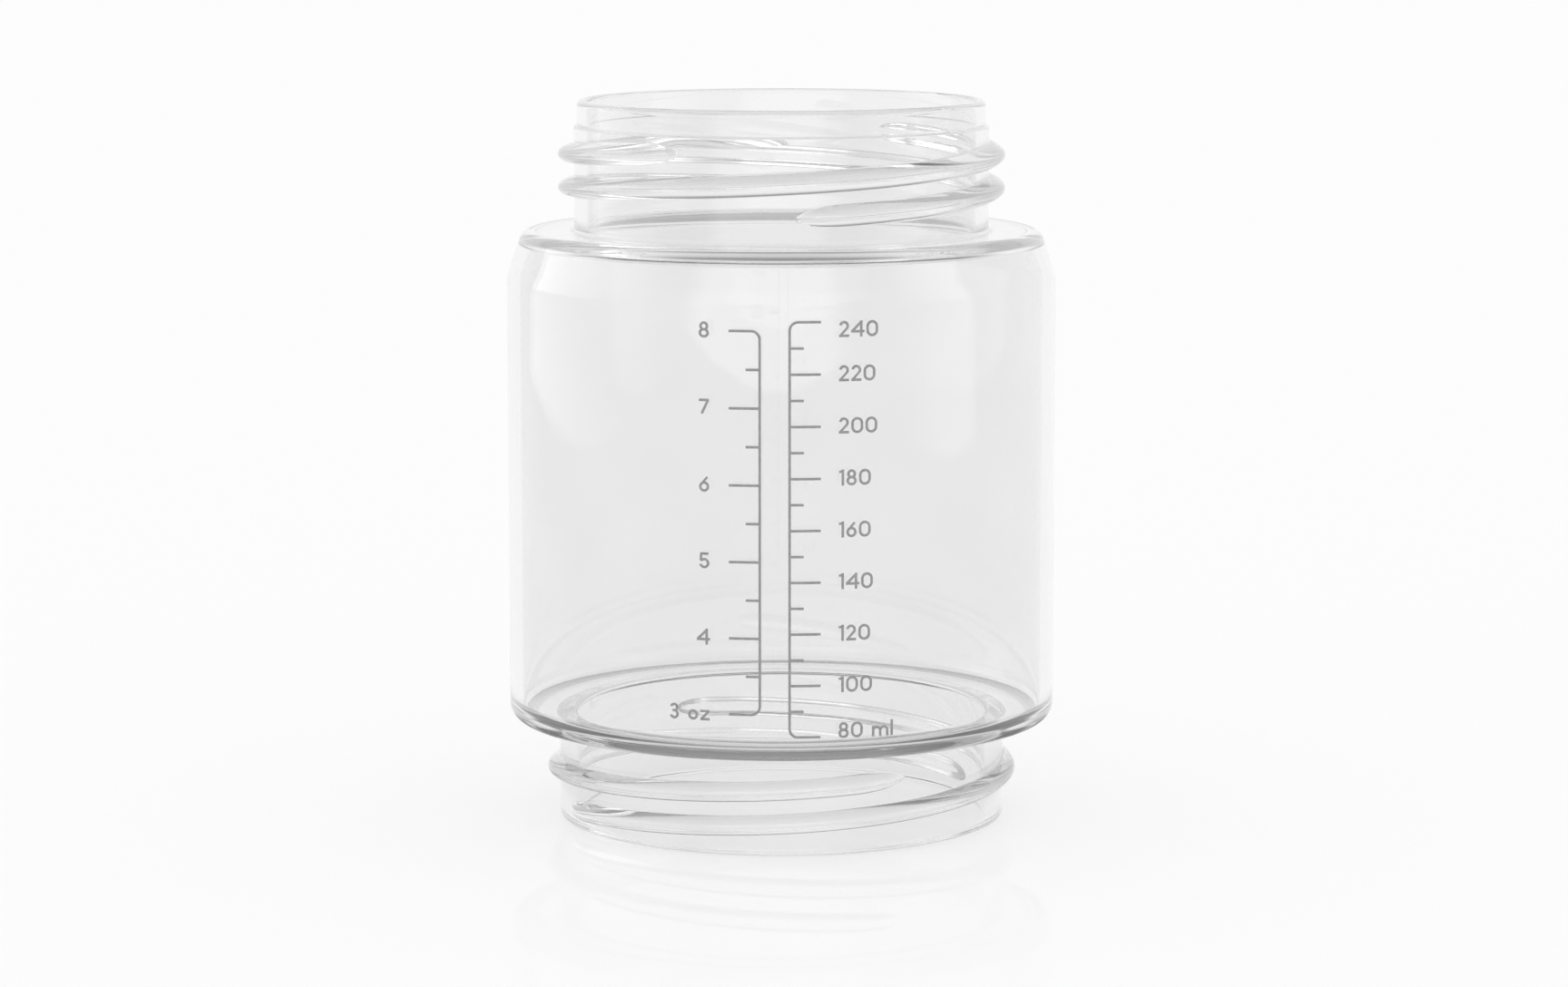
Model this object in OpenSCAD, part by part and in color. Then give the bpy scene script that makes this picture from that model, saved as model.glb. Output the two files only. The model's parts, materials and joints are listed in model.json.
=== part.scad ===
// Clear open-ended feeding bottle vessel: a drum body between two threaded necks, with an ounce scale
// and a millilitre scale printed on its wall.
// Millimetres, +Z up, origin at the centre of the base rim, scales facing -Y.

/* [Body] */
// Outer diameter of the drum body
body_d = 67.6; // [62:0.1:76]
// Height of the drum body, from its underside to the flat of its shoulder
body_h = 60.4; // [50:0.1:75]
// Thickness of the drum body's wall
wall = 1.6; // [1.2:0.05:2.2]
// Thickness of the ring floor that joins the wall to the base neck
floor_t = 0.8; // [0.7:0.05:2]
// Radius of the lower outer corner
foot_r = 1.6; // [0.8:0.05:2.4]
// Radius of the inside corner between wall and floor
floor_fillet_r = 2; // [1:0.05:2.6]

/* [Shoulder] */
// Height of the leaning band below the shoulder's flat
shoulder_h = 5.5; // [4:0.1:8]
// Lean of that band from upright, in degrees
shoulder_lean = 19.5; // [12:0.5:25]
// Radius of the bend between the upright wall and that band
shoulder_bend_r = 6; // [4:0.1:8]
// Radius of the shoulder's outer edge
shoulder_edge_r = 1.55; // [0.8:0.05:2]
// Thickness of the shoulder's flat
shoulder_t = 1.6; // [1.2:0.05:2.2]
// Radius of the inside corner under the shoulder's edge
ceiling_fillet_r = 1; // [0.5:0.05:1.6]

/* [Mouth neck] */
// Outer diameter of the mouth neck
mouth_d = 51; // [47:0.1:54]
// Thickness of the mouth neck's wall
mouth_wall = 1.6; // [1.3:0.05:2.4]
// Height of the mouth neck above the shoulder's flat
mouth_h = 15.9; // [15:0.1:22]
// How far the lip at the top of the neck is set in from the neck
lip_inset = 0.4; // [0.1:0.05:0.6]
// Height of the lip
lip_h = 3.2; // [2:0.1:4]
// Radius of the rim's outer edge
rim_outer_r = 0.7; // [0.3:0.05:1]
// Radius of the rim's inner edge
rim_inner_r = 0.45; // [0.1:0.05:0.6]
// Radius of the fillet at the foot of the mouth neck
mouth_root_r = 0.5; // [0.2:0.05:1]
// Radius of the rounded edge where the mouth bore opens into the body
mouth_bore_edge_r = 1.8; // [0.5:0.05:2.2]

/* [Base neck] */
// Outer diameter of the base neck
base_d = 55.2; // [53:0.1:58]
// Thickness of the base neck's wall
base_wall = 2.2; // [1.8:0.05:3]
// Height of the base neck, from the base rim to the body's underside
base_h = 12.5; // [12:0.1:20]
// Radius of the base rim's outer edge
base_outer_r = 0.5; // [0.2:0.05:0.8]
// Radius of the base rim's inner edge
base_inner_r = 0.4; // [0.2:0.05:0.8]
// Radius of the fillet under the body at the top of the base neck
base_root_r = 0.4; // [0.2:0.05:1]
// Radius of the rounded edge where the base bore opens into the body
base_bore_edge_r = 0.5; // [0.2:0.05:1]

/* [Threads] */
// Rise of a thread in one turn
thread_lead = 8.2; // [6:0.1:9]
// Angle over which a thread rises out of the wall at each end
thread_runout_deg = 14; // [8:1:20]
// How far a thread's root is sunk into the neck, so that both are one moulding
thread_sink = 0.4; // [0.3:0.05:0.6]
// Height of the mouth thread over the neck
mouth_thread_h = 2; // [1:0.05:2.4]
// How far the mouth thread reaches down the neck from its crest
mouth_thread_low_w = 1.25; // [0.9:0.05:1.6]
// How far the mouth thread reaches up the neck from its crest
mouth_thread_high_w = 1.4; // [1:0.05:1.8]
// Height of the crest of the mouth thread's lower end above the shoulder's flat
mouth_thread_start_h = 3.2; // [2.6:0.1:4]
// Angle at which the first mouth thread starts, from +X
mouth_thread_start_deg = 275; // [180:1:360]
// Angle that each mouth thread covers
mouth_thread_turn_deg = 328; // [200:1:345]
// Height of the base thread over the neck
base_thread_h = 1.55; // [1:0.05:2]
// How far the base thread reaches down the neck from its crest
base_thread_low_w = 1.2; // [0.9:0.05:1.5]
// How far the base thread reaches up the neck from its crest
base_thread_high_w = 1.25; // [0.9:0.05:1.6]
// Height of the crest of the base thread's lower end above the base rim
base_thread_start_h = 2.3; // [2:0.1:3]
// Angle at which the first base thread starts, from +X
base_thread_start_deg = 201; // [180:1:360]
// Angle that each base thread covers
base_thread_turn_deg = 283; // [180:1:300]

/* [Scales] */
// Thickness of the printed ink
ink_t = 0.06; // [0.04:0.01:0.1]
// Width of the printed lines
line_w = 0.3; // [0.2:0.01:0.35]
// Distance between the upright lines of the two scales
scale_gap = 3.5; // [2.5:0.1:5]
// Length of the numbered marks
mark_long = 3.65; // [2.5:0.05:4.5]
// Length of the marks between them
mark_short = 1.65; // [1:0.05:2.2]
// Radius of the bend at each end of an upright line
bend_r = 1; // [0.5:0.05:1.4]
// Distance from a numbered millilitre mark to its number
ml_label_gap = 2.15; // [1.5:0.05:3]
// Distance from a numbered ounce mark to its number
oz_label_gap = 2.35; // [1.5:0.05:3]
// How far the middle of a number stands above its mark
label_lift = 0.1; // [0:0.05:0.4]
// Height of the digits
digit_h = 1.9; // [1.5:0.05:2.2]
// Height of the lowest millilitre mark above the body's underside
first_mark_h = 3.15; // [2.8:0.05:6]
// Volume at the lowest millilitre mark
ml_first = 80; // [60:20:100]
// Volume at the highest millilitre mark
ml_last = 240; // [200:20:240]
// Volume between numbered millilitre marks
ml_step = 20; // [20:20:40]
// Volume at the lowest ounce mark
oz_first = 3; // [3:1:5]
// Volume at the highest ounce mark
oz_last = 8; // [6:1:8]
// How far the middle of the lowest millilitre number stands above its mark
ml_first_lift = 0.75; // [0:0.05:0.9]
// How far the middle of the highest millilitre number stands below its mark
ml_last_drop = 0.85; // [0:0.05:1]

/* [Hidden] */
$fn = 96;

// Cut shapes reach this far past the faces they cut
lap = 0.5;
// Angle between two rings of points along a thread
ring_deg = 6;
// Steps of points across a thread, and how full its flanks are: less is fuller
section_steps = 8;
low_fullness = 0.55;
high_fullness = 0.8;
// Least share of its height that a thread has at its ends, where it lies inside the wall, and of its width
least_high = 0.04;
least_wide = 0.3;
// Most of the lip's wall that the rim's edges take up
outer_share = 0.6;
inner_share = 0.38;
ml_per_oz = 29.5735;

body_r = body_d / 2;
body_bore_r = body_r - wall;
mouth_r = mouth_d / 2;
mouth_bore_r = mouth_r - mouth_wall;
lip_r = mouth_r - lip_inset;
lip_wall = lip_r - mouth_bore_r;
base_r = base_d / 2;
base_bore_r = base_r - base_wall;

floor_top = base_h + floor_t;
shoulder_top = base_h + body_h;
ceiling = shoulder_top - shoulder_t;
rim_top = shoulder_top + mouth_h;
lean_dir = [-sin(shoulder_lean), cos(shoulder_lean)];
lean_in = [-cos(shoulder_lean), -sin(shoulder_lean)];
lean_foot = [body_r, shoulder_top - shoulder_h];

// Scale heights: equal volumes are equal heights in the straight bore
mm_per_ml = 1000 / (PI * body_bore_r * body_bore_r);
mark_limit = lean_foot.y - line_w;
ml_fit = ml_first + ml_step * floor((mark_limit - ml_z(ml_first)) / (mm_per_ml * ml_step));
ml_top = min(ml_last, ml_fit);
oz_fit = floor((ml_first + (mark_limit - ml_z(ml_first)) / mm_per_ml) / ml_per_oz);
oz_top = min(oz_last, oz_fit);
half_w = line_w / 2;
glyph_gap = 0.15 * digit_h;
unit_gap = 0.6 * digit_h;
x_height = 0.66 * digit_h;

function ml_z(ml) = base_h + first_mark_h + (ml - ml_first) * mm_per_ml;
function oz_z(oz) = ml_z(oz * ml_per_oz);

// Angle on the wall of a distance along it
function wall_deg(s) = s / body_r * 180 / PI;

// The point along a line through p, in direction d, that is at height z
function at_height(p, d, z) = p + d * ((z - p.y) / d.y);
function at_radius(p, d, r) = p + d * ((r - p.x) / d.x);

// Corner piece between two square faces, left by a circle of radius f that touches both.
// s points from the circle to the corner.
// Taken from an outer corner, it rounds it. Added to an inner one, it fills it.
module corner_piece(corner, f, s) {
    low = [s.x > 0 ? corner.x - f : corner.x - lap, s.y > 0 ? corner.y - f : corner.y - lap];
    difference() {
        translate(low) square(f + lap);
        translate([corner.x - s.x * f, corner.y - s.y * f]) circle(f);
    }
}

// Half outline of a drum with a square foot, a leaning band and a rounded edge below its flat top.
// foot is where the upright wall and the band would meet without the bend between them.
module drum_outline(foot, bottom, top, band_bend_r, edge_r) {
    slope_at = at_height(foot + lean_in * edge_r, lean_dir, top - edge_r);
    touch = slope_at - lean_in * edge_r;
    bend_reach = band_bend_r * tan(shoulder_lean / 2);
    bend_low = foot - [0, bend_reach];
    bend_high = foot + lean_dir * bend_reach;
    bend_at = bend_low - [band_bend_r, 0];
    polygon([[0, bottom], [foot.x, bottom], bend_low, bend_high, touch, [slope_at.x, top], [0, top]]);
    intersection() {
        translate(bend_at) circle(band_bend_r);
        polygon([bend_at, bend_low + [lap, 0], foot + [lap, 0], bend_high - lean_in * lap]);
    }
    translate(slope_at) circle(edge_r);
}

module outer_outline() {
    difference() {
        drum_outline(lean_foot, base_h, shoulder_top, shoulder_bend_r, shoulder_edge_r);
        corner_piece([body_r, base_h], foot_r, [1, -1]);
    }
    difference() {
        square([base_r, base_h + lap]);
        corner_piece([base_r, 0], base_outer_r, [1, -1]);
    }
    corner_piece([base_r, base_h], base_root_r, [-1, 1]);
    translate([0, shoulder_top - lap]) square([mouth_r, mouth_h - lip_h + lap]);
    corner_piece([mouth_r, shoulder_top], mouth_root_r, [-1, -1]);
    difference() {
        translate([0, rim_top - lip_h - lap]) square([lip_r, lip_h + lap]);
        corner_piece([lip_r, rim_top], min(rim_outer_r, outer_share * lip_wall), [1, 1]);
    }
}

module hollow_outline() {
    inner_foot = at_radius(lean_foot + lean_in * wall, lean_dir, body_bore_r);
    difference() {
        drum_outline(inner_foot, floor_top, ceiling, shoulder_bend_r - wall, ceiling_fillet_r);
        corner_piece([body_bore_r, floor_top], floor_fillet_r, [1, -1]);
    }
    translate([0, -lap]) square([base_bore_r, floor_top + 2 * lap]);
    corner_piece([base_bore_r, 0], base_inner_r, [-1, 1]);
    corner_piece([base_bore_r, floor_top], base_bore_edge_r, [-1, -1]);
    translate([0, ceiling - lap]) square([mouth_bore_r, rim_top - ceiling + 2 * lap]);
    corner_piece([mouth_bore_r, ceiling], mouth_bore_edge_r, [-1, 1]);
    corner_piece([mouth_bore_r, rim_top], min(rim_inner_r, inner_share * lip_wall), [-1, -1]);
}

// How far a thread has risen at an angle t along it: a bow at each end that levels out
function risen(t, turn) =
    let (u = min(1, t / thread_runout_deg, (turn - t) / thread_runout_deg))
    max(0, u * (2 - u));

// One point of a thread's section at an angle a around it: height over the sunk root, then height on the
// neck from the crest. It goes from the root below, over the crest at 90 degrees, to the root above.
function section_point(a, height, low_w, high_w) =
    let (below = a < 90)
    let (share = pow(sin(a), 2 * (below ? low_fullness : high_fullness)))
    [a == 0 || a == 180 ? 0 : thread_sink + height * share, -(below ? low_w : high_w) * cos(a)];

// One thread: rings of the thread's section along a helix
module thread(neck_r, height, low_w, high_w, start_h, start_deg, turn) {
    section = [for (k = [0:section_steps]) section_point(180 * k / section_steps, height, low_w, high_w)];
    n = len(section);
    rings = ceil(turn / ring_deg);
    points = [
        for (k = [0:rings])
            let (t = turn * k / rings, rise = risen(t, turn), a = start_deg + t)
            let (high = max(least_high, rise), wide = max(least_wide, sqrt(rise)))
            for (q = section) let (r = neck_r - thread_sink + q.x * high)
                [r * cos(a), r * sin(a), start_h + thread_lead * t / 360 + q.y * wide]
    ];
    sides = [
        for (k = [0:rings - 1], i = [0:n - 1]) let (j = (i + 1) % n, a = k * n, b = a + n)
            each [[a + i, b + j, b + i], [a + i, a + j, b + j]]
    ];
    first_end = [for (i = [1:n - 2]) [0, i + 1, i]];
    last_end = [for (i = [1:n - 2]) [rings * n, rings * n + i, rings * n + i + 1]];
    polyhedron(points, concat(sides, first_end, last_end), convexity = 4);
}

module double_thread(neck_r, height, low_w, high_w, start_h, start_deg, turn) {
    for (half = [0, 180])
        thread(neck_r, height, low_w, high_w, start_h, start_deg + half, turn);
}

module vessel() {
    color([0.92, 0.94, 0.95, 0.35]) {
        rotate_extrude() difference() {
            outer_outline();
            hollow_outline();
        }
        double_thread(mouth_r, mouth_thread_h, mouth_thread_low_w, mouth_thread_high_w,
                      shoulder_top + mouth_thread_start_h, mouth_thread_start_deg, mouth_thread_turn_deg);
        double_thread(base_r, base_thread_h, base_thread_low_w, base_thread_high_w,
                      base_thread_start_h, base_thread_start_deg, base_thread_turn_deg);
    }
}

// Straight stroke between two points, of the line width unless a lesser share of it is given
module bar(a, b, share = 1) {
    d = (b - a) / norm(b - a) * half_w * share;
    polygon([a + [d.y, -d.x], b + [d.y, -d.x], b + [-d.y, d.x], a + [-d.y, d.x]]);
}

// Closed round stroke about a centre
module ring(centre, r) {
    translate(centre) difference() {
        circle(r + half_w);
        circle(r - half_w);
    }
}

// Curved stroke about a centre, from one angle up to another
module bow(centre, r, from, to) {
    steps = ceil((to - from) / 60);
    reach = 3 * r;
    intersection() {
        ring(centre, r);
        translate(centre) polygon(concat([[0, 0]], [
            for (k = [0:steps]) let (a = from + (to - from) * k / steps) reach * [cos(a), sin(a)]
        ]));
    }
}

// Closed stroke of half width a and half height b, with round ends above and below
module tall_loop(centre, a, b) {
    r = a - half_w;
    rise = [0, b - a];
    bow(centre + rise, r, 0, 180);
    bow(centre - rise, r, 180, 360);
    for (side = [-r, r]) bar(centre + [side, 0] - rise, centre + [side, 0] + rise);
}

// Closed stroke of half width a and half height b, with round ends left and right
module wide_loop(centre, a, b) {
    r = b - half_w;
    run = [a - b, 0];
    bow(centre + run, r, -90, 90);
    bow(centre - run, r, 90, 270);
    for (side = [-r, r]) bar(centre + [0, side] - run, centre + [0, side] + run);
}

// Width of each sign
function sign_w(c) = digit_h * (
    c == "1" ? 0.33 :
    c == "2" ? 0.63 :
    c == "4" ? 0.8 :
    c == "0" ? 0.76 :
    c == "m" ? 1.1 :
    c == "l" ? 0.14 :
    c == "z" ? 0.6 : 0.65);

// Width of a row of signs, from its sign i on
function row_w(word, i = 0) =
    i >= len(word) ? 0 : sign_w(word[i]) + (i + 1 < len(word) ? glyph_gap : 0) + row_w(word, i + 1);

// One sign, standing on the base line at x = 0
module sign(c) {
    h = digit_h;
    top = h - half_w;
    low = half_w;
    bowl = 0.325 * h - half_w;
    if (c == "0") tall_loop([0.38 * h, h / 2], 0.38 * h, h / 2);
    if (c == "1") {
        bar([0.33 * h - half_w, 0], [0.33 * h - half_w, h]);
        bar([0.02 * h, 0.84 * h], [0.33 * h - half_w, top - 0.02 * h], 0.9);
    }
    if (c == "2") {
        crown = 0.31 * h - half_w;
        middle = [0.31 * h, h - 0.31 * h];
        from = middle + crown * [cos(42), -sin(42)];
        along = [-sin(42), -cos(42)];
        bow(middle, crown, -42, 172);
        bar(from - 0.03 * h * along, at_height(from, along, low), 0.9);
        bar([0, low], [0.63 * h, low]);
    }
    if (c == "3") {
        under = 0.303 * h - half_w;
        over = h / 2 - half_w - under;
        bow([0.32 * h, low + under], under, -165, 65);
        bow([0.32 * h, top - over], over, -65, 165);
        bar([0.2 * h, low + 2 * under], [0.43 * h, low + 2 * under]);
    }
    if (c == "4") {
        bar([0.62 * h, 0], [0.62 * h, h]);
        bar([-0.02 * h, 0.34 * h], [0.83 * h, 0.34 * h]);
        bar([0.05 * h, 0.36 * h], [0.6 * h, top - 0.02 * h]);
    }
    if (c == "5") {
        bow([0.325 * h, low + bowl], bowl, -168, 146);
        bar([0.13 * h, top], [0.1 * h, 0.47 * h]);
        bar([0.07 * h, top], [0.6 * h, top]);
    }
    if (c == "6") {
        middle = [0.325 * h, low + bowl];
        from = middle + bowl * [cos(138), sin(138)];
        ring(middle, bowl);
        bar(from, at_height(from, [sin(138), -cos(138)], top), 0.85);
    }
    if (c == "7") {
        bar([0, top], [0.65 * h, top]);
        bar([0.58 * h, top - 0.02 * h], [0.18 * h, low]);
    }
    if (c == "8") {
        wide_loop([0.325 * h, 0.295 * h], 0.325 * h, 0.295 * h);
        ring([0.325 * h, h - 0.285 * h], 0.285 * h - half_w);
    }
    if (c == "9") translate([0.65 * h, h]) rotate(180) sign("6");
    if (c == "m") {
        arch = (sign_w("m") - line_w) / 4;
        spring = x_height - half_w - arch;
        bar([half_w, 0], [half_w, x_height]);
        for (k = [1, 2]) {
            bow([half_w + (2 * k - 1) * arch, spring], arch, 0, 160);
            bar([half_w + 2 * k * arch, 0], [half_w + 2 * k * arch, spring]);
        }
    }
    if (c == "l") bar([0.07 * h, 0], [0.07 * h, h]);
    if (c == "o") ring([0.325 * h, x_height / 2], bowl);
    if (c == "z") {
        bar([0, low], [0.6 * h, low]);
        bar([0, x_height - half_w], [0.58 * h, x_height - half_w]);
        bar([0.07 * h, low + 0.01 * h], [0.52 * h, x_height - half_w - 0.01 * h]);
    }
}

// A row of signs, standing on the base line and starting at x = 0
module sign_row(word, i = 0) {
    if (i < len(word)) {
        sign(word[i]);
        translate([sign_w(word[i]) + glyph_gap, 0]) sign_row(word, i + 1);
    }
}

// Number, and unit where there is one, centred on x = 0 and on half the digits' height
function label_w(number, unit) = row_w(number) + (unit == "" ? 0 : unit_gap + row_w(unit));
module label(number, unit) {
    translate([-label_w(number, unit) / 2, -digit_h / 2]) {
        sign_row(number);
        translate([row_w(number) + unit_gap, 0]) sign_row(unit);
    }
}

// Ink of flat drawings that stand in front of the wall
module printed() {
    intersection() {
        union() children();
        difference() {
            cylinder(r = body_r + ink_t, h = shoulder_top);
            translate([0, 0, -lap]) cylinder(r = body_r, h = shoulder_top + 2 * lap);
        }
    }
}

// A flat drawing stood against the wall.
// Its x = 0 is at distance s along the wall from the middle of the print.
module on_wall(s, z = 0) {
    rotate(wall_deg(s)) translate([0, lap - body_r, z]) rotate([90, 0, 0])
        linear_extrude(2 * lap) children();
}

// Upright line with bent ends, marks at the long and short heights, drawn to the right of x = 0
module scale_lines(long_z, short_z) {
    low = min(long_z);
    high = max(long_z);
    translate([-half_w, low + bend_r]) square([line_w, high - low - 2 * bend_r]);
    bow([bend_r, low + bend_r], bend_r, 180, 270);
    bow([bend_r, high - bend_r], bend_r, 90, 180);
    for (z = long_z) {
        inset = z == low || z == high ? bend_r : 0;
        translate([inset, z - half_w]) square([mark_long - inset, line_w]);
    }
    for (z = short_z) translate([0, z - half_w]) square([mark_short, line_w]);
}

module millilitre_scale() {
    long_z = [for (v = [ml_first:ml_step:ml_top]) ml_z(v)];
    short_z = [for (v = [ml_first + ml_step / 2:ml_step:ml_top]) ml_z(v)];
    color([0.58, 0.59, 0.6]) printed() on_wall(scale_gap / 2) scale_lines(long_z, short_z);
}

module ounce_scale() {
    long_z = [for (v = [oz_first:oz_top]) oz_z(v)];
    short_z = [for (v = [oz_first + 0.5:oz_top]) oz_z(v)];
    color([0.58, 0.59, 0.6]) printed() on_wall(-scale_gap / 2) mirror([1, 0]) scale_lines(long_z, short_z);
}

module millilitre_numbers() {
    color([0.58, 0.59, 0.6]) printed() for (v = [ml_first:ml_step:ml_top]) {
        unit = v == ml_first ? "ml" : "";
        shift = v == ml_first ? ml_first_lift : v == ml_top ? -ml_last_drop : label_lift;
        edge = scale_gap / 2 + mark_long + ml_label_gap;
        on_wall(edge + label_w(str(v), unit) / 2, ml_z(v) + shift) label(str(v), unit);
    }
}

module ounce_numbers() {
    color([0.58, 0.59, 0.6]) printed() for (v = [oz_first:oz_top]) {
        unit = v == oz_first ? "oz" : "";
        edge = scale_gap / 2 + mark_long + oz_label_gap;
        on_wall(-edge - label_w(str(v), unit) / 2, oz_z(v) + label_lift) label(str(v), unit);
    }
}

vessel();
ounce_scale();
ounce_numbers();
millilitre_scale();
millilitre_numbers();
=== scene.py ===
"""Clear open-ended baby bottle vessel with printed scales, on a pale floor in soft studio light."""

import json
import math
from collections import namedtuple

import bpy
import numpy as np
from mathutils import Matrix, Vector


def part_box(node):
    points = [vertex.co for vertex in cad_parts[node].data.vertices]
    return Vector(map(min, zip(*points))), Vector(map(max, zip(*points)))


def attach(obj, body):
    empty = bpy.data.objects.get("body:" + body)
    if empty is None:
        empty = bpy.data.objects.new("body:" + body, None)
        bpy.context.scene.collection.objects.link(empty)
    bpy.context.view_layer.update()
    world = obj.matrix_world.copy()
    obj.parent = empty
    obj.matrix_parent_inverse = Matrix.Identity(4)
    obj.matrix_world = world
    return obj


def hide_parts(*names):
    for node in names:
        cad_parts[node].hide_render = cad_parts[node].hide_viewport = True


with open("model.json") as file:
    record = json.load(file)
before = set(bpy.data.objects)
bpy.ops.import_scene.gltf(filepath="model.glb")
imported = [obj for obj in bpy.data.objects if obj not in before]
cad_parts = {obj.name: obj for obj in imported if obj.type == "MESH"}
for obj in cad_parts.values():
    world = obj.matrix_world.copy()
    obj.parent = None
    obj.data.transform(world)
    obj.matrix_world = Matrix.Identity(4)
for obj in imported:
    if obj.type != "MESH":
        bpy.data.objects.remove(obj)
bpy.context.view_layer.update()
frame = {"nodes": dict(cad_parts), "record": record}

MM = 0.001

# Vessel sizes in millimetres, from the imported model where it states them
mounts = {m["name"]: m for m in frame["record"]["mounts"]}
_, vessel_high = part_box("vessel")
BODY_R = vessel_high.x / MM
RIM_TOP = vessel_high.z / MM
MOUTH_BORE_R = mounts["mouth_bore"]["dims"]["r_mm"]
BASE_BORE_R = mounts["base_bore"]["dims"]["r_mm"]
BASE_H = mounts["base_seat"]["pos_m"][2] / MM
SHOULDER_TOP = mounts["shoulder_seat"]["pos_m"][2] / MM
WALL = 1.6
FLOOR_T = 0.8
SHOULDER_T = 1.6
MOUTH_WALL = 1.6
BASE_WALL = 2.2
LIP_INSET = 0.4
LIP_H = 3.2
SHOULDER_H = 5.5
SHOULDER_LEAN = math.radians(19.5)
MOUTH_R = MOUTH_BORE_R + MOUTH_WALL
BASE_R = BASE_BORE_R + BASE_WALL
LIP_R = MOUTH_R - LIP_INSET

# Radii of its rounded edges
FOOT_R = 1.6
FLOOR_FILLET_R = 2.0
SHOULDER_EDGE_R = 1.55
CEILING_FILLET_R = 1.0
RIM_OUTER_R = 0.7
RIM_INNER_R = 0.45
MOUTH_ROOT_R = 0.5
MOUTH_BORE_EDGE_R = 1.8
BASE_EDGE_R = 0.5
BASE_INNER_R = 0.4
BASE_ROOT_R = 0.4
BASE_BORE_EDGE_R = 0.5
BEND_R = 6.0
LIP_STEP_R = 0.15

# Threads: both are right-handed, with two starts half a turn apart. z is where a crest starts, low and high
# are how far the section reaches below and above the crest, and start and turn are degrees round the neck.
THREAD_LEAD = 8.2
MOUTH_THREAD = dict(height=2.0, low=1.25, high=1.4, z=SHOULDER_TOP + 3.2, start=275.0, turn=328.0)
BASE_THREAD = dict(height=1.55, low=1.2, high=1.25, z=2.3, start=201.0, turn=283.0)
# Half turns of the helix that can pass one column of points, from below the neck to above it
HALF_TURNS = np.arange(-3, 5)
# Towards its ends a thread sinks into the neck and narrows, down to a share of its width
RUNOUT_DEG = 14.0
THREAD_SINK = 0.4
LEAST_WIDTH = 0.3
# Powers that bend the section below and above the crest: the lower, the fuller
LOW_FULLNESS = 0.55
HIGH_FULLNESS = 0.8

# Mesh fineness: columns round the axis, the turn between points of a rounded edge and the fewest steps in
# one, steps across a thread, the places of rows between two threads, and how far the rows of a flat are from
# its ends
TURN_STEPS = 480
ARC_STEP = math.radians(6.0)
LEAST_ARC_STEPS = 3
SECTION_STEPS = 20
GAP_SHARES = (0.04, 0.5, 0.96)
EDGE_ROW = 0.2
# A point of a thread that is so near an end of the neck, or past it, gives way to the neck's own
END_GAP = 0.001

# Camera, fitted to the photograph's rims and silhouette
IMAGE_W = 1728
FOCAL_PX = 5197.9
CAMERA_DISTANCE = 579.65 * MM
CAMERA_HEIGHT = 121.58 * MM
CAMERA_PITCH = math.radians(8.02)
CAMERA_AZIMUTH = math.radians(1.33)
AXIS_OFFSET_PX = 2.9
SENSOR_MM = 36.0
CAMERA_REACH = (0.01, 50.0)

WHITE = (1, 1, 1, 1)
BLACK = (0, 0, 0, 1)
# Most of a noise texture's numbers are between these
NOISE_SPAN = (0.3, 0.7)

# Plastic: its tint, which is a little cloudy, and the shallow waves of its surface, with clouds and waves to
# a metre
TINT = (0.9, 0.92)
TINT_CLOUDS = 70.0
WAVES = 160.0
WAVE_STRENGTH = 0.05
WAVE_DEPTH = 0.1 * MM
PLASTIC_IOR = 1.5
# How much light each face lets through to the floor and the print
SHADOW_CLEAR = (0.97, 0.97, 0.97, 1)
# How much light a metre of the plastic takes up
SMOKE_PER_M = 6.0
# After so many turns light counts as trapped in the wall, and the wall shows a painted glow this bright
TRAPPED_DEPTH = 9
PAINTED_GLOW = 0.65
LIGHT_BOUNCES = 16

# Print: grey and roughness, both with a fine grain, in grains to a metre
INK_GREY = (0.26, 0.34)
INK_GREY_GRAIN = 1800.0
INK_ROUGHNESS = (0.5, 0.7)
INK_ROUGHNESS_GRAIN = 900.0

# Floor: half its width in metres, the share of it that is gloss, and that gloss's roughness
FLOOR_HALF = 3.0
FLOOR_GLOSS = 0.1
GLOSS_ROUGHNESS = 0.03

# Mirrored light meets a painted shadow on the floor under the vessel, this bright in the middle and at
# the sides. Pairs give where the painted shadow begins and where it is full.
PAINTED_SHADOW = 0.32
PAINTED_SHADOW_SIDES = 0.17
# Slant of the light: 0 is straight down and 1 is along the floor
STEEP = (0.85, 0.65)
# Radius in mm
UNDER = (85.0, 55.0)
# Metres to the front of the axis, in the middle and at the sides, and metres aside from it for the sides
BEFORE = (-0.022, -0.004)
BEFORE_ASIDE = (-0.055, -0.035)
ASIDE = (0.015, 0.033)
# A ring below the drum's edge gets less painted shadow, by this share: its inner and outer radius in mm
BELOW_FIRST = (27.0, 29.0)
BELOW_LAST = (36.0, 33.0)
BELOW_LIGHT = 0.6

# Heights, as sines, between which the sky turns from white to grey
OVERHEAD = (0.42, 0.78)
OVERHEAD_GREY = 0.15

# Tall lamps that only mirrored light meets, part on the floor and part over it: first, middle and last angle
# from the front, the width of the fade at first and last, all in degrees, then the nearest radius on the
# floor in mm and its growth in mm per degree squared, and the strength over white of the two parts
Lamp = namedtuple("Lamp", "first middle last first_fade last_fade nearest growth floor_light sky_light")
LAMPS = (
    Lamp(-127.0, -88.0, -55.0, 3.0, 60.0, 385.0, 0.08, 0.42, 0.95),
    Lamp(-44.0, 0.0, 32.0, 14.0, 14.0, 495.0, 0.09, 0.7, 0.9),
    Lamp(45.0, 72.0, 88.0, 30.0, 2.0, 375.0, 0.12, 0.5, 0.75),
)
# Width in mm of their soft edge on the floor, and heights, as sines, between which they end
LAMP_EDGE = 25.0
LAMP_TOPS = (0.75, 0.6)


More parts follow.
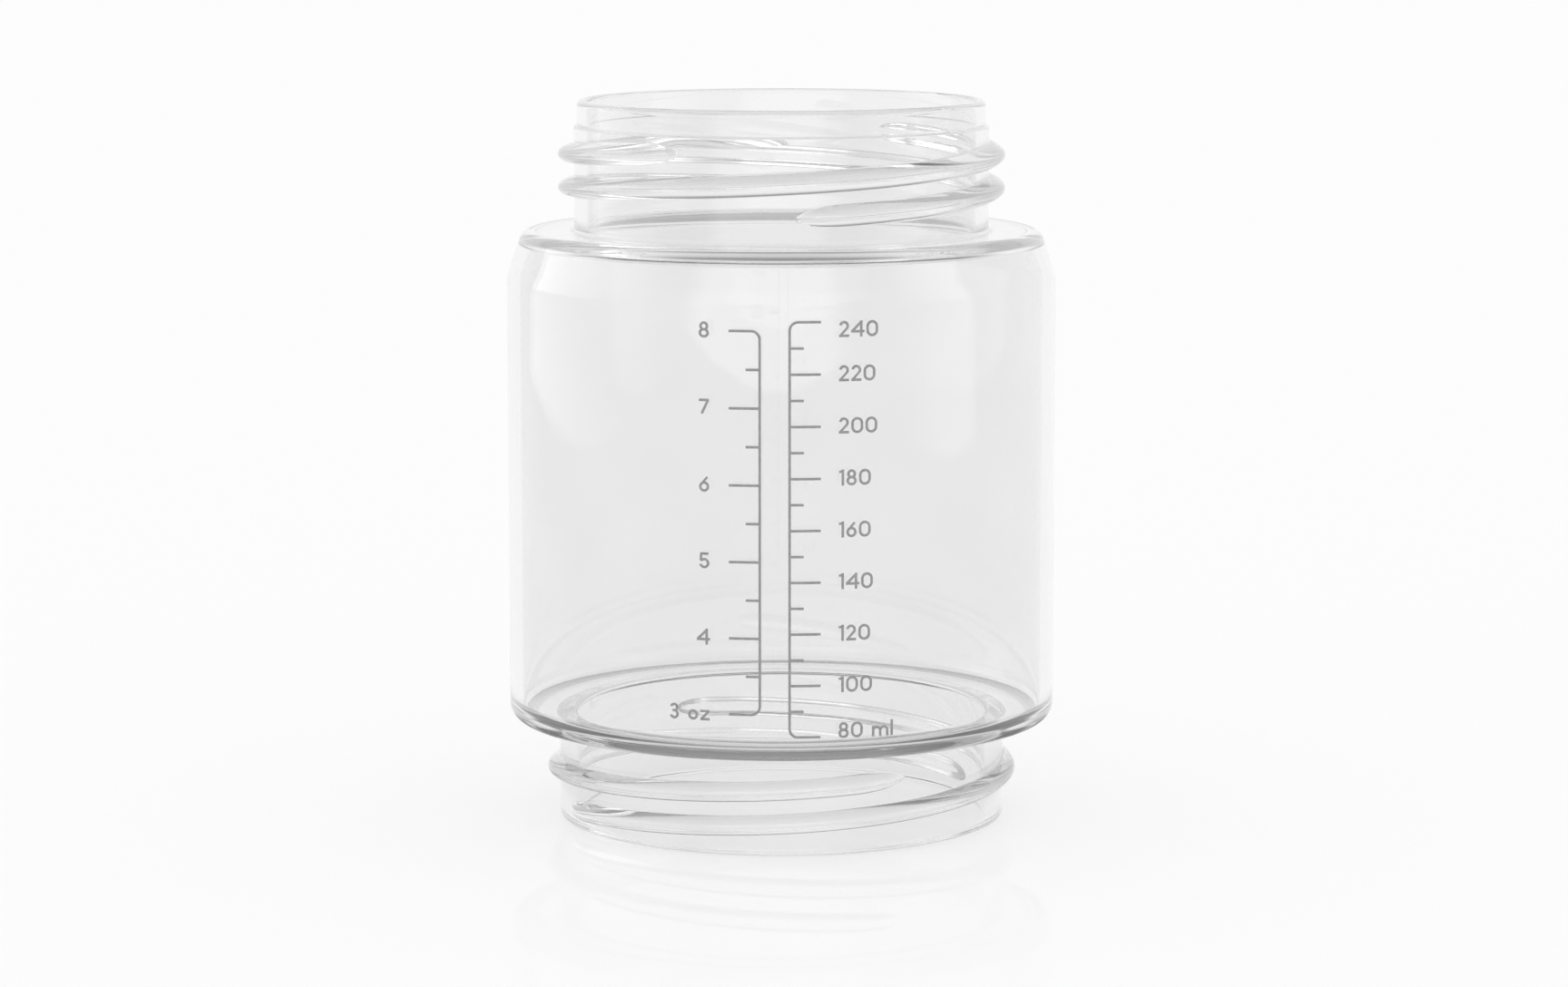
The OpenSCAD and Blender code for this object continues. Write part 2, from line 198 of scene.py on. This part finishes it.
def corner_list():
    """Corners of the wall's half section, once round: radius, height, rounding, and thread if one stands on
    the way to the next corner."""
    lean = math.tan(SHOULDER_LEAN)
    floor_top = BASE_H + FLOOR_T
    ceiling = SHOULDER_TOP - SHOULDER_T
    lean_z = SHOULDER_TOP - SHOULDER_H
    edge_r = BODY_R - SHOULDER_H * lean
    bore_r = BODY_R - WALL
    inner_lean_z = lean_z - WALL * math.tan(SHOULDER_LEAN / 2)
    inner_edge_r = bore_r - (ceiling - inner_lean_z) * lean
    lip_z = RIM_TOP - LIP_H
    return [
        (BASE_BORE_R, 0.0, BASE_INNER_R, None),
        (BASE_R, 0.0, BASE_EDGE_R, BASE_THREAD),
        (BASE_R, BASE_H, BASE_ROOT_R, None),
        (BODY_R, BASE_H, FOOT_R, None),
        (BODY_R, lean_z, BEND_R, None),
        (edge_r, SHOULDER_TOP, SHOULDER_EDGE_R, None),
        (MOUTH_R, SHOULDER_TOP, MOUTH_ROOT_R, MOUTH_THREAD),
        (MOUTH_R, lip_z, LIP_STEP_R, None),
        (LIP_R, lip_z, LIP_STEP_R, None),
        (LIP_R, RIM_TOP, RIM_OUTER_R, None),
        (MOUTH_BORE_R, RIM_TOP, RIM_INNER_R, None),
        (MOUTH_BORE_R, ceiling, MOUTH_BORE_EDGE_R, None),
        (inner_edge_r, ceiling, CEILING_FILLET_R, None),
        (bore_r, inner_lean_z, BEND_R - WALL, None),
        (bore_r, floor_top, FLOOR_FILLET_R, None),
        (BASE_BORE_R, floor_top, BASE_BORE_EDGE_R, None),
    ]


def corner_arc(before, corner, after, radius):
    """Points of the arc that rounds a corner."""
    to_before = (before - corner).normalized()
    to_after = (after - corner).normalized()
    half = to_before.angle(to_after) / 2
    centre = corner + (to_before + to_after).normalized() * (radius / math.sin(half))
    reach = radius / math.tan(half)
    first = corner + to_before * reach - centre
    last = corner + to_after * reach - centre
    steps = max(LEAST_ARC_STEPS, math.ceil((math.pi - 2 * half) / ARC_STEP))
    turn = first.angle_signed(last)
    points = []
    for k in range(steps + 1):
        a = -turn * k / steps
        points.append(centre + Vector((first.x * math.cos(a) - first.y * math.sin(a),
                                       first.x * math.sin(a) + first.y * math.cos(a))))
    return points


def thread_rows(thread, angle):
    """Rows of points that follow a thread with two starts: heights, how far they stand out of the neck, and
    by how many rows a whole turn moves up.

    A row belongs to one half turn of the helix. A row near the helix's first angle continues a row two half
    turns higher near its last.
    """
    along = np.mod(angle - thread["start"], 360.0)[:, None] + 180.0 * HALF_TURNS[None, :]
    u = np.clip(np.minimum(along, thread["turn"] - along) / RUNOUT_DEG, 0.0, 1.0)
    risen = u * (2 - u)
    width = np.maximum(LEAST_WIDTH, np.sqrt(risen))
    crest = thread["z"] + THREAD_LEAD * along / 360.0
    a = np.pi * np.arange(SECTION_STEPS + 1) / SECTION_STEPS
    below = a < np.pi / 2
    offset = -np.cos(a) * np.where(below, thread["low"], thread["high"])
    share = np.sin(a) ** (2 * np.where(below, LOW_FULLNESS, HIGH_FULLNESS))
    z = crest[:, :-1, None] + width[:, :-1, None] * offset
    sunk = THREAD_SINK + thread["height"] * share
    out = np.maximum(0.0, sunk * risen[:, :-1, None] - THREAD_SINK)
    root = (crest - width * thread["low"])[:, 1:, None]
    top = z[:, :, -1:]
    gap = top + (root - top) * np.array(GAP_SHARES)
    z = np.concatenate([z, gap], axis=2)
    out = np.concatenate([out, np.zeros(gap.shape)], axis=2)
    rows = z.shape[2]
    return z.reshape(len(angle), -1), out.reshape(len(angle), -1), 2 * rows


def vessel_rows(angle):
    """Rows of points round the axis, with one column for each angle: radius, height, the row that stands for
    each point, and for each thread its first row, its count of rows, its seam's column and the rows that it
    moves up there."""
    corners = corner_list()
    places = [Vector((r, z)) for r, z, _, _ in corners]
    count = len(corners)
    arcs = []
    for i in range(count):
        arcs.append(corner_arc(places[i - 1], places[i], places[(i + 1) % count], corners[i][2]))
    radii, heights, links, seams = [], [], [], []

    def add_rows(r, z, outside=None):
        """Add rows. Where outside is -1 or 1, the row before or after them stands for a point."""
        first = sum(part.shape[1] for part in radii)
        link = np.broadcast_to(first + np.arange(r.shape[1]), r.shape)
        if outside is not None:
            link = np.where(outside < 0, first - 1, np.where(outside > 0, first + r.shape[1], link))
        radii.append(r)
        heights.append(z)
        links.append(link)
        return first

    def add_points(points):
        row = np.array([[p.x, p.y] for p in points])
        shape = (len(angle), len(points))
        add_rows(np.broadcast_to(row[:, 0], shape), np.broadcast_to(row[:, 1], shape))

    for i in range(count):
        add_points(arcs[i])
        thread = corners[i][3]
        start = arcs[i][-1]
        end = arcs[(i + 1) % count][0]
        length = (end - start).length
        if thread:
            z, out, shift = thread_rows(thread, angle)
            outside = np.where(z <= start.y + END_GAP, -1, np.where(z >= end.y - END_GAP, 1, 0))
            first = add_rows(start.x + out, z, outside)
            seam = int(np.argmin(np.mod(angle - thread["start"], 360.0)))
            seams.append((first, z.shape[1], seam, shift))
        elif length > 3 * EDGE_ROW:
            add_points([start.lerp(end, EDGE_ROW / length), end.lerp(start, EDGE_ROW / length)])
    r, z, link = (np.concatenate(parts, axis=1) for parts in (radii, heights, links))
    return r, z, link, seams


def spun_vessel(name):
    """The whole moulding as one closed mesh: its section turned about the axis, with rows along threads."""
    columns = np.arange(TURN_STEPS)
    angle = columns * 360.0 / TURN_STEPS
    r, z, link, seams = vessel_rows(angle)
    n = r.shape[1]
    turn = np.radians(angle)[:, None]
    verts = np.stack([r * np.cos(turn), r * np.sin(turn), z], axis=-1).reshape(-1, 3) * MM
    here = np.broadcast_to(np.arange(n), r.shape)
    beside = here.copy()
    for first, rows, seam, shift in seams:
        strip = (seam - 1) % TURN_STEPS
        moved = here[strip, first:first + rows] + shift
        beside[strip, first:first + rows] = np.minimum(moved, first + rows)
    next_column = (columns + 1) % TURN_STEPS
    left = columns[:, None] * n + link
    right = next_column[:, None] * n + link[next_column[:, None], beside]
    above_right = np.roll(right, -1, axis=1)
    above_left = np.roll(left, -1, axis=1)
    quads = np.stack([left, right, above_right, above_left], axis=-1).reshape(-1, 4)
    faces = [list(dict.fromkeys(quad)) for quad in quads.tolist()]
    faces = [face for face in faces if len(face) > 2]
    used = sorted({v for face in faces for v in face})
    place = {v: k for k, v in enumerate(used)}
    mesh = bpy.data.meshes.new(name)
    mesh.from_pydata(verts[used].tolist(), [], [[place[v] for v in face] for face in faces])
    mesh.shade_smooth()
    obj = bpy.data.objects.new(name, mesh)
    bpy.context.scene.collection.objects.link(obj)
    return obj


class Tree:
    """Short ways to put nodes together in a node tree, which is emptied first."""

    def __init__(self, tree):
        self.nodes = tree.nodes
        self.links = tree.links
        self.nodes.clear()

    def node(self, kind, **values):
        """A new shader node, with values or links for its inputs. In a name, _ stands for a space."""
        node = self.nodes.new("ShaderNode" + kind)
        for name, value in values.items():
            self.feed(node.inputs[name.replace("_", " ")], value)
        return node

    def feed(self, socket, value):
        if isinstance(value, bpy.types.NodeSocket):
            self.links.new(value, socket)
        else:
            socket.default_value = value

    def math(self, operation, *values):
        node = self.node("Math")
        node.operation = operation
        for socket, value in zip(node.inputs, values):
            self.feed(socket, value)
        return node.outputs[0]

    def ramp(self, value, start, end):
        """0 at start, 1 at end, with a soft bend at both."""
        node = self.node("MapRange", Value=value, From_Min=start, From_Max=end)
        node.interpolation_type = "SMOOTHSTEP"
        return node.outputs[0]

    def product(self, *values):
        total = values[0]
        for value in values[1:]:
            total = self.math("MULTIPLY", total, value)
        return total

    def noise(self, scale):
        """Cloudy numbers about 0.5 over the object, with scale clouds to a metre."""
        coords = self.node("TexCoord")
        return self.node("TexNoise", Scale=scale, Vector=coords.outputs["Object"]).outputs["Fac"]

    def clouds(self, scale, low, high):
        """Cloudy numbers from low to high."""
        node = self.node("MapRange", Value=self.noise(scale), From_Min=NOISE_SPAN[0], From_Max=NOISE_SPAN[1],
                         To_Min=low, To_Max=high)
        return node.outputs[0]

    def mix(self, share, first, second):
        """The first shader where share is 0, and the second where it is 1."""
        node = self.node("MixShader")
        for socket, value in zip(node.inputs, (share, first, second)):
            self.feed(socket, value)
        return node.outputs[0]

    def mirrored(self):
        """1 for light that was mirrored on its way to the camera, also inside the wall, or else 0."""
        path = self.node("LightPath")
        return self.math("GREATER_THAN", path.outputs["Glossy Depth"], 0.5)

    def front_and_angle(self, split):
        """How far a place or direction is to the front, and its angle from the front in degrees."""
        front = self.math("MULTIPLY", split.outputs["Y"], -1.0)
        angle = self.math("ARCTAN2", split.outputs["X"], front)
        return front, self.math("MULTIPLY", angle, 180.0 / math.pi)

    def lamp_breadth(self, angle, lamp):
        """1 within a lamp's angles, with its fades."""
        return self.product(self.ramp(angle, lamp.first, lamp.first + lamp.first_fade),
                            self.ramp(angle, lamp.last, lamp.last - lamp.last_fade))


def new_material(name):
    material = bpy.data.materials.new(name)
    material.use_nodes = True
    return material, Tree(material.node_tree)


def clear_plastic():
    """Clear plastic. Light on its way to the floor or the print goes straight through it."""
    material, tree = new_material("clear_plastic")
    waves = tree.node("Bump", Strength=WAVE_STRENGTH, Distance=WAVE_DEPTH, Height=tree.noise(WAVES))
    glass = tree.node("BsdfPrincipled", Base_Color=tree.clouds(TINT_CLOUDS, *TINT),
                      Normal=waves.outputs[0], Roughness=0.0, IOR=PLASTIC_IOR, Transmission_Weight=1.0)
    clear = tree.node("BsdfTransparent", Color=SHADOW_CLEAR)
    path = tree.node("LightPath")
    either = tree.math("MAXIMUM", path.outputs["Is Shadow Ray"], path.outputs["Is Diffuse Ray"])
    plastic = tree.mix(either, glass.outputs[0], clear.outputs[0])
    # Painted glow: past the trapped depth the plastic shines this bright in place of traced light
    painted_glow = tree.node("Emission", Color=WHITE, Strength=PAINTED_GLOW)
    deep = tree.math("GREATER_THAN", path.outputs["Ray Depth"], TRAPPED_DEPTH)
    smoke = tree.node("VolumeAbsorption", Color=BLACK, Density=SMOKE_PER_M)
    tree.node("OutputMaterial", Surface=tree.mix(deep, plastic, painted_glow.outputs[0]), Volume=smoke.outputs[0])
    material.cycles.emission_sampling = "NONE"
    return material


def ink():
    material, tree = new_material("print_ink")
    paint = tree.node("BsdfPrincipled", Base_Color=tree.clouds(INK_GREY_GRAIN, *INK_GREY),
                      Roughness=tree.clouds(INK_ROUGHNESS_GRAIN, *INK_ROUGHNESS))
    tree.node("OutputMaterial", Surface=paint.outputs[0])
    return material


def make_camera():
    data = bpy.data.cameras.new("camera")
    data.sensor_width = SENSOR_MM
    data.lens = SENSOR_MM * FOCAL_PX / IMAGE_W
    data.shift_x = AXIS_OFFSET_PX / IMAGE_W
    data.clip_start, data.clip_end = CAMERA_REACH
    obj = bpy.data.objects.new("camera", data)
    obj.location = (CAMERA_DISTANCE * math.sin(CAMERA_AZIMUTH),
                    -CAMERA_DISTANCE * math.cos(CAMERA_AZIMUTH),
                    CAMERA_HEIGHT)
    obj.rotation_euler = (math.pi / 2 - CAMERA_PITCH, 0, CAMERA_AZIMUTH)
    bpy.context.scene.collection.objects.link(obj)
    bpy.context.scene.camera = obj


def make_world():
    """White at eye level and grey overhead, with lamps that only mirrored light meets. Light on the floor and
    on the print is white all round."""
    world = bpy.data.worlds.new("studio")
    bpy.context.scene.world = world
    world.use_nodes = True
    world.cycles.sampling_method = "NONE"
    tree = Tree(world.node_tree)
    coords = tree.node("TexCoord")
    split = tree.node("SeparateXYZ", Vector=coords.outputs["Generated"])
    height = split.outputs["Z"]
    path = tree.node("LightPath")
    plain = tree.math("MAXIMUM", path.outputs["Is Camera Ray"], path.outputs["Is Diffuse Ray"])
    clear = tree.math("SUBTRACT", 1.0, plain)
    dim = tree.product(clear, tree.ramp(height, *OVERHEAD), 1.0 - OVERHEAD_GREY)
    sky = tree.math("SUBTRACT", 1.0, dim)
    _, angle = tree.front_and_angle(split)
    lit = tree.product(clear, tree.mirrored(), tree.ramp(height, *LAMP_TOPS))
    for lamp in LAMPS:
        breadth = tree.lamp_breadth(angle, lamp)
        sky = tree.math("ADD", sky, tree.product(breadth, lit, lamp.sky_light))
    background = tree.node("Background", Color=WHITE, Strength=sky)
    tree.node("OutputWorld", Surface=background.outputs[0])


def floor_material():
    """Pale, with a faint gloss. Mirrored light meets lamps on it, and a painted shadow under the vessel."""
    material, tree = new_material("floor")
    white = tree.node("BsdfDiffuse", Color=WHITE)
    gloss = tree.node("BsdfGlossy", Roughness=GLOSS_ROUGHNESS)
    pale = tree.mix(FLOOR_GLOSS, white.outputs[0], gloss.outputs[0])

    place = tree.node("NewGeometry").outputs["Position"]
    split = tree.node("SeparateXYZ", Vector=place)
    length = tree.node("VectorMath")
    length.operation = "LENGTH"
    tree.feed(length.inputs[0], place)
    radius = tree.math("DIVIDE", length.outputs["Value"], MM)
    front, angle = tree.front_and_angle(split)
    light = 1.0
    for lamp in LAMPS:
        off = tree.math("SUBTRACT", angle, lamp.middle)
        edge = tree.math("ADD", tree.product(off, off, lamp.growth), lamp.nearest)
        within = tree.ramp(radius, edge, tree.math("ADD", edge, LAMP_EDGE))
        breadth = tree.lamp_breadth(angle, lamp)
        light = tree.math("ADD", light, tree.product(breadth, within, lamp.floor_light))

    # Painted shadow on the floor under the vessel, which only mirrored light meets: steep light, near the
    # axis
    steep = tree.ramp(tree.node("LayerWeight").outputs["Facing"], *STEEP)
    below = tree.product(tree.ramp(radius, *BELOW_FIRST), tree.ramp(radius, *BELOW_LAST), BELOW_LIGHT)
    under = tree.math("SUBTRACT", tree.ramp(radius, *UNDER), below)
    aside = tree.ramp(tree.math("ABSOLUTE", split.outputs["X"]), *ASIDE)
    before_aside = tree.product(aside, tree.ramp(front, *BEFORE_ASIDE))
    before = tree.math("MAXIMUM", tree.ramp(front, *BEFORE), before_aside)
    painted_shadow_depth = tree.math("ADD", 1.0 - PAINTED_SHADOW, tree.product(aside, PAINTED_SHADOW - PAINTED_SHADOW_SIDES))
    dim = tree.math("SUBTRACT", 1.0, tree.product(steep, under, before, painted_shadow_depth))
    lamps_and_painted_shadow = tree.node("Emission", Color=WHITE, Strength=tree.product(light, dim))
    tree.node("OutputMaterial", Surface=tree.mix(tree.mirrored(), pale, lamps_and_painted_shadow.outputs[0]))
    return material


def make_floor():
    mesh = bpy.data.meshes.new("floor")
    corners = [(-1, -1), (1, -1), (1, 1), (-1, 1)]
    mesh.from_pydata([(x * FLOOR_HALF, y * FLOOR_HALF, 0) for x, y in corners], [], [(0, 1, 2, 3)])
    floor = bpy.data.objects.new("floor", mesh)
    bpy.context.scene.collection.objects.link(floor)
    floor.data.materials.append(floor_material())


vessel = spun_vessel("vessel_moulding")
vessel.data.materials.append(clear_plastic())
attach(vessel, "root")
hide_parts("vessel")

ink_material = ink()
for name in ("ounce_scale", "ounce_numbers", "millilitre_scale", "millilitre_numbers"):
    node = frame["nodes"][name]
    node.data.materials.clear()
    node.data.materials.append(ink_material)

make_camera()
make_world()
make_floor()
bpy.context.scene.view_settings.view_transform = "Standard"
# Light turns round many times inside the clear wall before it leaves
cycles = bpy.context.scene.cycles
cycles.max_bounces = LIGHT_BOUNCES
cycles.glossy_bounces = LIGHT_BOUNCES
cycles.transmission_bounces = LIGHT_BOUNCES
